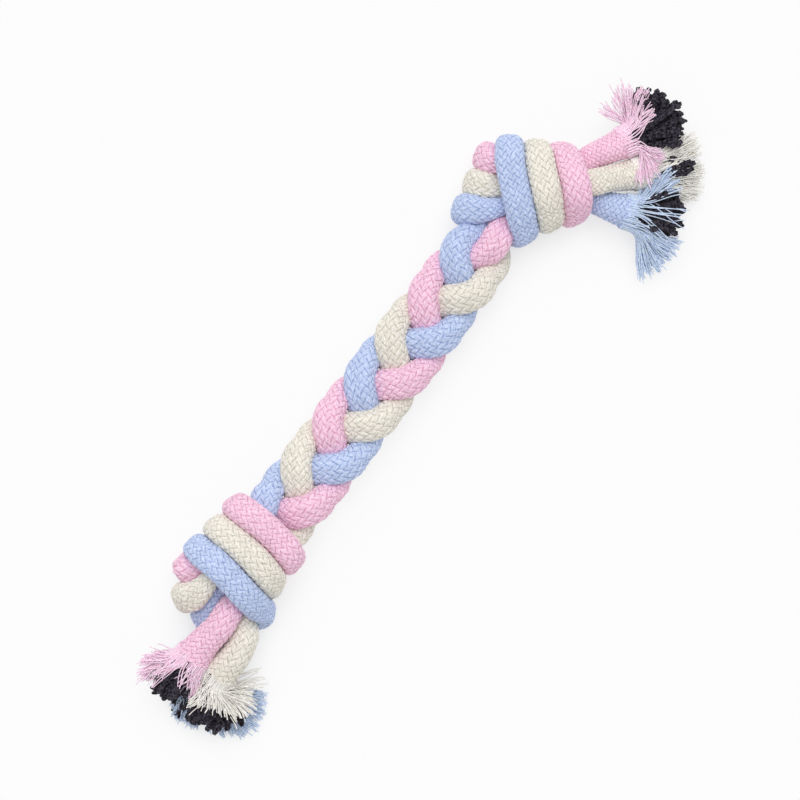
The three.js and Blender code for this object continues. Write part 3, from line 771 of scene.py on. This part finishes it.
def soft_cotton(tree, shader, colour, roughness=0.9, sheen=0.15):
    """Soft cotton of a colour."""
    set_inputs(tree, shader, {
        "Base Color": colour,
        "Roughness": roughness,
        "Specular IOR Level": 0.2,
        "Sheen Weight": sheen,
        "Sheen Roughness": 0.5,
    })


@lru_cache(maxsize=None)
def sheath_material(colour):
    """Soft braided cotton: painted highlights on the crests, painted shade in the grooves and
    between the threads, yarns that differ a little.
    """
    groove_shade_power, groove_shade, highlight_paleness, ripple_depth = 1.6, 0.76, 0.3, 0.22
    base = np.array(getattr(bpy.context.scene.rope_toy, colour))
    material, tree, shader = new_material(f"{colour}_sheath")
    # Painted shade: the grooves between floats take a darker, deeper colour than the crests
    groove_shade_colour = base ** groove_shade_power * groove_shade
    relief = read_attribute(tree, "yarn_relief")
    # The yarn's height sets how much painted groove shade it gets, with none on the crests
    crest = spread_range(tree, relief, low=0.0, high=1.4)
    # Painted groove shade made patchy by noise: deeper in some grooves, lighter in others
    patchy_groove_shade = spread_range(tree, link_noise(tree, *GROOVE_SHADE_PATCHES), low=-0.6, high=0.9)
    braid = mix_colours(tree, use_math(tree, "ADD", crest, patchy_groove_shade), groove_shade_colour, base)
    # Painted highlights: where the specks are bright, the crests turn paler towards white
    pale = base + highlight_paleness * (1 - base)
    speck_and_glint = link_noise(tree, *FIBRE_SPECKS_AND_GLINTS)
    glint = use_math(tree, "MULTIPLY", relief, spread_range(tree, speck_and_glint, low=-0.9, high=1.7))
    waves = use_math(tree, "MULTIPLY", read_attribute(tree, "yarn_thread"),
                     2 * math.pi * THREADS_PER_YARN)
    ripple = use_math(tree, "COSINE", waves)
    yarns = mix_colours(tree, glint, braid, pale)
    for value, low, high in (
        (read_attribute(tree, "yarn_tone"), 0.94, 1.02),
        (link_noise(tree, *DYE_PATCHES), 0.94, 1.05),
        (speck_and_glint, 0.67, 1.37),
        # Painted shade in the creases between the threads of a yarn, where the bump dips
        (ripple, 0.97, 0.88),
    ):
        yarns = shade_colour(tree, yarns, value, low, high)
    threads = use_math(tree, "MULTIPLY", ripple, ripple_depth)
    fuzz = use_math(tree, "SUBTRACT", link_noise(tree, *SHEATH_FUZZ), threads)
    add_bump(tree, shader, fuzz, *SHEATH_BUMP)
    soft_cotton(tree, shader, yarns)
    return material


@lru_cache(maxsize=None)
def fringe_material(colour):
    """Single threads of the sheath, teased apart: streaks of paler thread, partly random tone and
    partly painted highlights.
    """
    pale_and_highlight_gain, lift = 1.15, 0.2
    base = np.array(getattr(bpy.context.scene.rope_toy, colour))
    material, tree, shader = new_material(f"{colour}_threads")
    # Paler streaks: partly random tone of the threads, partly painted highlights
    shade = spread_range(tree, link_noise(tree, *THREAD_STREAKS_AND_HIGHLIGHTS), low=-1.0, high=2.0)
    pale = np.clip(base * pale_and_highlight_gain + lift, 0, 1)
    add_bump(tree, shader, link_noise(tree, *THREAD_FUZZ), *THREAD_BUMP)
    soft_cotton(tree, shader, mix_colours(tree, shade, base, pale), roughness=0.75)
    return material


@lru_cache(maxsize=None)
def core_material():
    """Fuzzy charcoal yarn, with random lumps much darker and paler: partly tone and tufts, partly
    painted shade and painted fibre highlights.
    """
    dark_lump_and_shade_gain, pale_tuft_and_highlight_gain = 0.1, 4.0
    base = np.array(bpy.context.scene.frayed_ends.core)
    material, tree, shader = new_material("core_yarn")
    # Random lumps: partly tone and tufts, partly painted shade and painted fibre highlights
    shade = spread_range(tree, link_noise(tree, *YARN_TUFTS_AND_HIGHLIGHTS), low=-1.8, high=2.8)
    yarn = mix_colours(tree, shade, base * dark_lump_and_shade_gain, base * pale_tuft_and_highlight_gain)
    add_bump(tree, shader, link_noise(tree, *YARN_FUZZ), *YARN_BUMP)
    soft_cotton(tree, shader, yarn, roughness=0.95, sheen=0.04)
    return material


def floor_material():
    """A white floor: it keeps a shadow, and the eye sees it paler than it is lit."""
    settings = bpy.context.scene.rope_stage
    material, tree, shader = new_material("floor")
    set_inputs(tree, shader, {
        "Base Color": settings.floor,
        "Roughness": 1.0,
        "Specular IOR Level": 0.0,
    })
    rays = add_node(tree, "LightPath", {})
    share = rays.outputs["Is Camera Ray"]
    for ray in ("Is Glossy Ray", "Is Transmission Ray"):
        share = use_math(tree, "MAXIMUM", share, rays.outputs[ray])
    glow = add_node(tree, "Emission", {"Color": settings.floor, "Strength": 1.0})
    shelter = add_node(tree, "AmbientOcclusion", {"Distance": settings.shelter_reach})
    pale = spread_range(tree, shelter.outputs["AO"], settings.sheltered_paleness,
                        settings.paleness)
    share = use_math(tree, "MULTIPLY", share, pale)
    mix = add_node(tree, "MixShader", {0: share, 1: shader.outputs[0], 2: glow.outputs[0]})
    set_inputs(tree, tree.nodes["Material Output"], {"Surface": mix.outputs[0]})
    return material


# Frayed ends


def end_frame(colour, end):
    """A sheath's end: centre, the way it points, two directions square to that, and radius."""
    rope = rope_routes()[colour]
    first, last = stretch_rows(colour)[f"tail_{end}"]
    row, way = (first, -1) if end == "a" else (last, 1)
    place = row_places(rope, np.array([row / FLOAT_ROWS]))
    centre = pick_at(rope, "line", place)[0]
    ahead = unit(pick_at(rope, "tangent", place)[0]) * way
    side = unit(np.cross([0, 0, 1], ahead))
    return centre, ahead, side, np.cross(ahead, side), pick_at(rope, "size", place)[0].mean()


def bent_path(start, leave, arrive, tip, count):
    """Points of a smooth bend from a start to a tip."""
    t = np.linspace(0, 1, count)[:, None]
    one = start + leave
    two = tip - arrive
    return ((1 - t) ** 3 * start + 3 * (1 - t) ** 2 * t * one
            + 3 * (1 - t) * t ** 2 * two + t ** 3 * tip)


def strand_piece(name, paths, radii, material, bevel):
    """Many thin strands as one mesh, from lines of points and their radii."""
    curve = bpy.data.curves.new(name, "CURVE")
    curve.dimensions = "3D"
    curve.bevel_depth = MM
    curve.bevel_resolution = bevel
    curve.use_fill_caps = True
    for path, radius in zip(paths, radii):
        spline = curve.splines.new("POLY")
        spline.points.add(len(path) - 1)
        where = np.ones((len(path), 4))
        where[:, :3] = (path + SHIFT) * MM
        spline.points.foreach_set("co", where.ravel())
        spline.points.foreach_set("radius", np.asarray(radius, float))
    shaper = new_object(name + "_shaper", curve)
    bpy.context.view_layer.update()
    made = shaper.evaluated_get(bpy.context.evaluated_depsgraph_get())
    mesh = bpy.data.meshes.new_from_object(made)
    bpy.data.objects.remove(shaper)
    bpy.data.curves.remove(curve)
    mesh.name = name
    mesh.materials.clear()
    mesh.materials.append(material)
    mesh.shade_smooth()
    return new_object(name, mesh)


def stray(chance, spread):
    """A small random step in space."""
    return np.array([chance.gauss(0, spread) for _ in range(3)])


def thread_path(centre, ahead, spoke, radius, tip, chance):
    """One thread: along the sheath to its rim, then in a bend to its tip."""
    inset, inset_range = 0.93, 0.12
    tuck, tuck_range = 0.4, 1.8
    rim_share, rim_ahead = 1.03, 0.4
    leave, enter, turn, count = 0.38, 0.32, 0.14, 9
    ring = radius * (inset + inset_range * chance.random())
    root = centre + spoke * ring - ahead * (tuck + tuck_range * chance.random())
    rim = centre + spoke * ring * rim_share + ahead * rim_ahead
    far = np.linalg.norm(tip - rim)
    arrive = unit(tip - rim) + stray(chance, turn)
    bend = bent_path(rim, ahead * far * leave, arrive * far * enter, tip, count)
    return np.vstack([root, bend])


def fringe_paths(colour, end, chance):
    """Threads of one frayed sheath: they leave its rim and gather in locks."""
    lean_gain, across_stray, above_stray, least_spoke = 1.5, 0.3, 0.4, 0.05
    tip_stray, shortening = 0.75, 0.14
    collar, collar_range, opening, opening_range = 1.0, 1.6, 0.1, 0.4
    floor_share, tip_share, thinnest, thickness_range = 1.3, 0.8, 0.8, 0.4
    settings = bpy.context.scene.frayed_ends
    thread = settings.thread_radius / MM
    centre, ahead, side, over, radius = end_frame(colour, end)
    paths = []
    for x, y, z, count in FRINGE[f"{colour}_{end}"]:
        target = np.array([x, y, z])
        away = target - centre
        lean = np.array([away.dot(side), away.dot(over)]) / max(np.linalg.norm(away), 1)
        for _ in range(round(count * settings.thread_share)):
            across = lean[0] * lean_gain + chance.gauss(0, across_stray)
            above = lean[1] * lean_gain + chance.gauss(0, above_stray)
            spoke = (side * across + over * above) / max(math.hypot(across, above), least_spoke)
            tip = target + stray(chance, tip_stray)
            tip = centre + (tip - centre) * (1 - shortening * chance.random() ** 2)
            paths.append(thread_path(centre, ahead, spoke, radius, tip, chance))
    for _ in range(settings.collar_count):
        angle = 2 * math.pi * chance.random()
        spoke = side * math.cos(angle) + over * math.sin(angle)
        reach = collar + collar_range * chance.random()
        out = radius + reach * (opening + opening_range * chance.random())
        tip = centre + ahead * reach + spoke * out
        paths.append(thread_path(centre, ahead, spoke, radius, tip, chance))
    for line in paths:
        line[:, 2] = np.maximum(line[:, 2], floor_share * thread)
    taper = np.linspace(1.0, tip_share, len(paths[0])) * thread
    return paths, [taper * (thinnest + thickness_range * chance.random()) for _ in paths]


def yarn_swell(share):
    """Thickness of a core yarn along it: fuller towards a rounded end."""
    slim, growth, bulb, bulb_power = 0.78, 0.22, 0.42, 5
    rounding = (0.95, 0.6)
    swell = slim + growth * share + bulb * share ** bulb_power
    swell[-len(rounding):] *= rounding
    return swell


def core_paths(colour, end, chance):
    """Core yarns of one rope: two plies each, from the sheath's mouth to soft blunt ends."""
    count, any_turn = 18, 6.0
    wall, roundness = 2.2, 0.7
    turn_stray, rise_stray, arrive_stray, wave_stray = 2.5, 0.4, 0.2, 0.5
    nearest, reach_range, side_loss, top_loss = 0.74, 0.29, 0.2, 0.1
    lowest, leave, enter, wave_rate = 1.5, 0.4, 0.3, 0.9
    ply_turn, ply_offset, ply_radius = 4.5, 0.46, 0.66
    upward = [0.1, 0.2, 1.0]
    yarn = bpy.context.scene.frayed_ends.yarn_radius / MM
    heading, spread, reach, height, half, number = CORE[f"{colour}_{end}"]
    centre, ahead, side, over, radius = end_frame(colour, end)
    inner = radius - wall * yarn
    share = np.linspace(0, 1, count)
    swell = yarn_swell(share)
    paths, radii = [], []
    for k in range(number):
        aside = 2 * (k + chance.random()) / number - 1
        level = 2 * chance.random() - 1
        room = inner * math.sqrt(1 - roundness * aside ** 2)
        root = centre + side * aside * inner + over * level * room - ahead
        turn = math.radians(heading + spread * aside + chance.gauss(0, turn_stray))
        out = reach * (nearest + reach_range * chance.random()) * (1 - side_loss * aside ** 2)
        out = out * (1 - top_loss * max(level, 0))
        rise = height + half * level + chance.gauss(0, rise_stray)
        tip = np.array([centre[0] + out * math.cos(turn), centre[1] + out * math.sin(turn),
                        max(rise, lowest * yarn)])
        far = np.linalg.norm(tip - root)
        arrive = unit(tip - root) + stray(chance, arrive_stray)
        path = bent_path(root, ahead * far * leave, arrive * far * enter, tip, count)
        wave = np.sin(far * wave_rate * share + any_turn * chance.random())
        path = path + share[:, None] * wave[:, None] * stray(chance, wave_stray)
        direction = unit(np.gradient(path, axis=0))
        across = unit(np.cross(direction, upward))
        above = np.cross(direction, across)
        twist = 2 * math.pi * far / ply_turn * share + any_turn * chance.random()
        for ply in (0, math.pi):
            offset = across * np.cos(twist + ply)[:, None]
            offset = offset + above * np.sin(twist + ply)[:, None]
            line = path + offset * (yarn * ply_offset * swell)[:, None]
            line[:, 2] = np.maximum(line[:, 2], yarn)
            paths.append(line)
            radii.append(swell * yarn * ply_radius)
    return paths, radii


# Operators


class ROPETOY_OT_stage(bpy.types.Operator):
    """Make the floor, the light and the camera that looks straight down"""

    bl_idname = "rope_toy.stage"
    bl_label = "Floor, Light and Camera"

    def execute(self, context):
        floor_size, lamp_spread, lamp_lean = 4.0, 50, 0.45
        scene = context.scene
        settings = scene.rope_stage
        scene.view_settings.view_transform = "Standard"
        bm = bmesh.new()
        bmesh.ops.create_grid(bm, x_segments=1, y_segments=1, size=floor_size)
        mesh_object("floor", bm, floor_material())
        world = bpy.data.worlds.new("studio")
        world.use_nodes = True
        sky = world.node_tree.nodes["Background"]
        sky.inputs["Color"].default_value = (1, 1, 1, 1)
        sky.inputs["Strength"].default_value = settings.sky
        scene.world = world
        lamp = bpy.data.lights.new("soft_lamp", "SUN")
        lamp.energy = settings.lamp
        lamp.angle = math.radians(lamp_spread)
        lamp_object = new_object("soft_lamp", lamp)
        toward = Vector((PHOTO_UP[0] * lamp_lean, PHOTO_UP[1] * lamp_lean, 1.0))
        lamp_object.rotation_euler = toward.to_track_quat("Z", "Y").to_euler()
        camera = bpy.data.cameras.new("camera")
        camera.sensor_width = 36.0
        camera.lens = 180.0
        distance = PHOTO_WIDTH * MM * camera.lens / camera.sensor_width
        camera.clip_end = 20.0
        camera_object = new_object("camera", camera)
        middle = (np.array(PHOTO_MIDDLE) + SHIFT) * MM
        camera_object.location = (middle[0], middle[1], PHOTO_LEVEL * MM + distance)
        camera_object.rotation_euler = (0, 0, math.atan2(-PHOTO_UP[0], PHOTO_UP[1]))
        scene.camera = camera_object
        return {"FINISHED"}


class ROPETOY_OT_plait(bpy.types.Operator):
    """Braid the middle of each rope, where the three are plaited"""

    bl_idname = "rope_toy.plait"
    bl_label = "Plait"

    def execute(self, context):
        for colour in ROPES:
            rows = stretch_rows(colour)["plait"]
            piece = braid_tube(f"{colour}_plait_braid", colour, *rows)
            path = route_path(colour, *rows)
            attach(piece, "plait")
            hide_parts(f"{colour}_plait")
        return {"FINISHED"}


class ROPETOY_OT_knots(bpy.types.Operator):
    """Braid each rope's way through the two knots"""

    bl_idname = "rope_toy.knots"
    bl_label = "Knots"

    def execute(self, context):
        for colour, end in ROPE_ENDS:
            rows = stretch_rows(colour)[f"knot_{end}"]
            piece = braid_tube(f"{colour}_knot_{end}_braid", colour, *rows)
            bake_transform(piece)
            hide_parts(f"{colour}_knot_{end}")
        return {"FINISHED"}


class ROPETOY_OT_tails(bpy.types.Operator):
    """Braid the short tails that leave the knots"""

    bl_idname = "rope_toy.tails"
    bl_label = "Tails"

    def execute(self, context):
        for colour, end in ROPE_ENDS:
            rows = stretch_rows(colour)[f"tail_{end}"]
            piece = braid_tube(f"{colour}_tail_{end}_braid", colour, *rows)
            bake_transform(piece)
            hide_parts(f"{colour}_tail_{end}")
        return {"FINISHED"}


class ROPETOY_OT_fringes(bpy.types.Operator):
    """Tease the end of each sheath out into locks of thread"""

    bl_idname = "rope_toy.fringes"
    bl_label = "Fringes"

    def execute(self, context):
        seed = 5
        chance = random.Random(seed)
        for colour, end in ROPE_ENDS:
            paths, radii = fringe_paths(colour, end, chance)
            piece = strand_piece(f"{colour}_fringe_{end}", paths, radii,
                                 fringe_material(colour), bevel=0)
            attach(piece, f"tails_{end}")
        return {"FINISHED"}


class ROPETOY_OT_cores(bpy.types.Operator):
    """Fan out the core yarns of each rope"""

    bl_idname = "rope_toy.cores"
    bl_label = "Core Yarns"

    def execute(self, context):
        seed = 11
        chance = random.Random(seed)
        for colour, end in ROPE_ENDS:
            paths, radii = core_paths(colour, end, chance)
            piece = strand_piece(f"{colour}_core_{end}_yarns", paths, radii, core_material(),
                                 bevel=1)
            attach(piece, f"tails_{end}")
            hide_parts(f"{colour}_core_{end}")
        return {"FINISHED"}


class ROPETOY_OT_declare(bpy.types.Operator):
    """Work out the centre line of each rope's way through the knots, and keep nothing of it"""

    bl_idname = "rope_toy.declare"
    bl_label = "Rope Lengths"

    def execute(self, context):
        for colour, end in ROPE_ENDS:
            path = route_path(colour, *stretch_rows(colour)[f"knot_{end}"])
        return {"FINISHED"}


class ROPETOY_PT_panel(bpy.types.Panel):
    """Lists what builds the toy"""

    bl_idname = "ROPETOY_PT_panel"
    bl_label = "Rope Toy"
    bl_space_type = "VIEW_3D"
    bl_region_type = "UI"
    bl_category = "Rope Toy"

    def draw(self, context):
        for name in SETTINGS:
            group = getattr(context.scene, name)
            box = self.layout.box()
            for key in group.bl_rna.properties.keys():
                if key not in ("rna_type", "name"):
                    box.prop(group, key)
        for operator in OPERATORS:
            self.layout.operator(operator.bl_idname)


OPERATORS = (
    ROPETOY_OT_stage,
    ROPETOY_OT_plait,
    ROPETOY_OT_knots,
    ROPETOY_OT_tails,
    ROPETOY_OT_fringes,
    ROPETOY_OT_cores,
    ROPETOY_OT_declare,
)
SETTINGS = {
    "rope_toy": RopeSettings,
    "frayed_ends": FrayedEndSettings,
    "rope_stage": StageSettings,
}
CLASSES = (*SETTINGS.values(), *OPERATORS, ROPETOY_PT_panel)


def register():
    for cls in CLASSES:
        bpy.utils.register_class(cls)
    for name, group in SETTINGS.items():
        setattr(bpy.types.Scene, name, PointerProperty(type=group))


def unregister():
    for name in SETTINGS:
        delattr(bpy.types.Scene, name)
    for cls in reversed(CLASSES):
        bpy.utils.unregister_class(cls)


def main():
    """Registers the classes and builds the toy."""
    register()
    bpy.ops.rope_toy.stage()
    bpy.ops.rope_toy.plait()
    bpy.ops.rope_toy.knots()
    bpy.ops.rope_toy.tails()
    bpy.ops.rope_toy.fringes()
    bpy.ops.rope_toy.cores()
    bpy.ops.rope_toy.declare()


if __name__ == "__main__":
    main()
